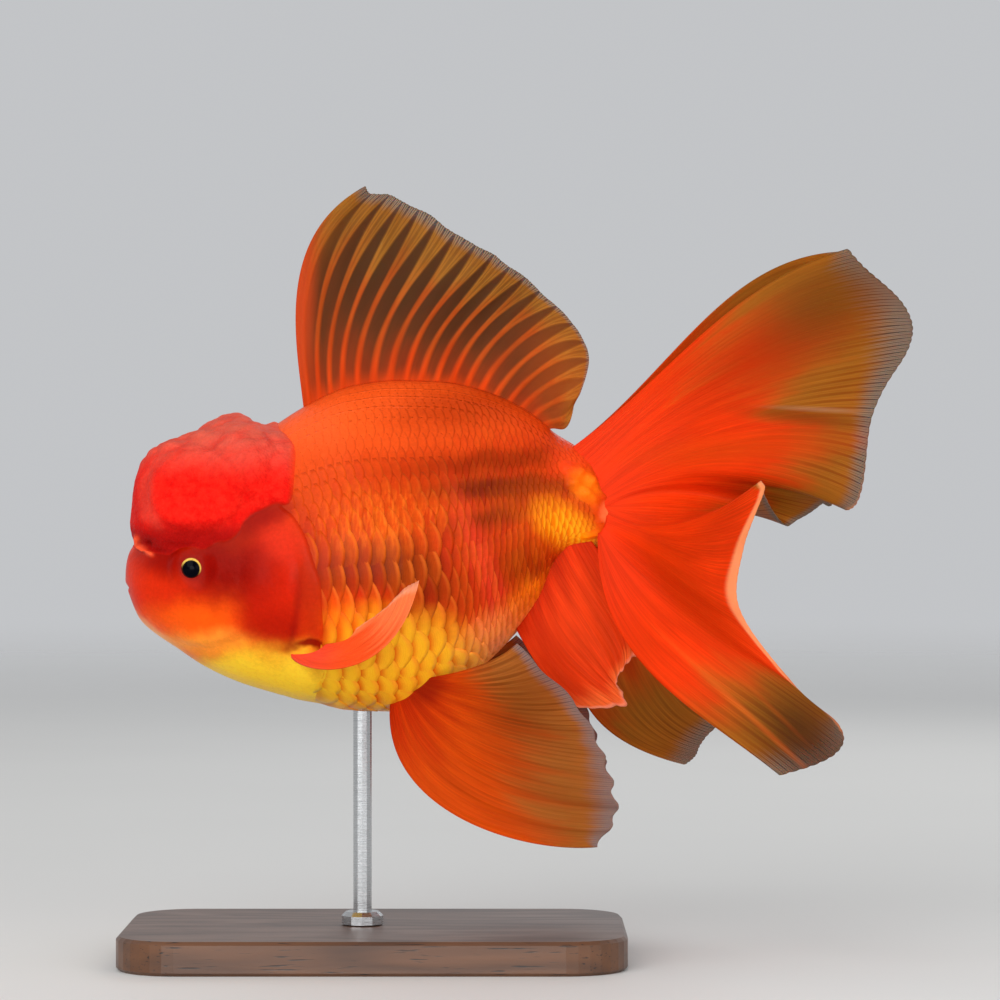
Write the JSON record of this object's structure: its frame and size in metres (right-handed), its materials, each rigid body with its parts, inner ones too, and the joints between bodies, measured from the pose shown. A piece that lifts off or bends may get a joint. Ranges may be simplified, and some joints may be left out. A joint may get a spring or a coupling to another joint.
{
  "type": "fancy goldfish, red oranda, still display model",
  "caption": "Life-size red oranda goldfish with a hooded head, a high back fin and a double tail, held by a rod on a flat base.",
  "frame": {"origin": "the middle of the stand base's underside, below the middle of the fish's body", "axes": "the fish heads along -X with its tail towards +X, its left side faces -Y, and its back is up +Z"},
  "size_m": [0.1849, 0.0898, 0.1856],
  "materials": {
    "scaled_skin": "wet scaled skin, orange to gold",
    "head_skin": "smooth wet red skin with orange cheeks and a yellow throat",
    "hood_skin": "soft, finely pimpled red hood",
    "fin_membrane": "thin rayed orange membrane, clear towards the hem",
    "eye_glass": "glossy black pupil in a thin gold ring",
    "stand_wood": "dark oiled wood, satin",
    "stand_steel": "fine brushed"
  },
  "bodies": {
    "root": {"head": "head_skin", "jaw": "head_skin", "hood": "hood_skin", "trunk": "scaled_skin", "caudal_peduncle": "scaled_skin", "dorsal_fin": "fin_membrane", "tail_fin_upper_left": "fin_membrane", "tail_fin_upper_right": "fin_membrane", "tail_fin_lower_left": "fin_membrane", "tail_fin_lower_right": "fin_membrane", "eye_left": "eye_glass", "eye_right": "eye_glass", "nostril_flap_left": "hood_skin", "nostril_flap_right": "hood_skin", "gill_cover_left": "head_skin", "gill_cover_right": "head_skin", "pectoral_fin_left": "fin_membrane", "pectoral_fin_right": "fin_membrane", "pelvic_fin_left": "fin_membrane", "pelvic_fin_right": "fin_membrane", "anal_fin_left": "fin_membrane", "anal_fin_right": "fin_membrane", "stand_base": "stand_wood", "stand_rod": "stand_steel"}
  },
  "joints": []
}
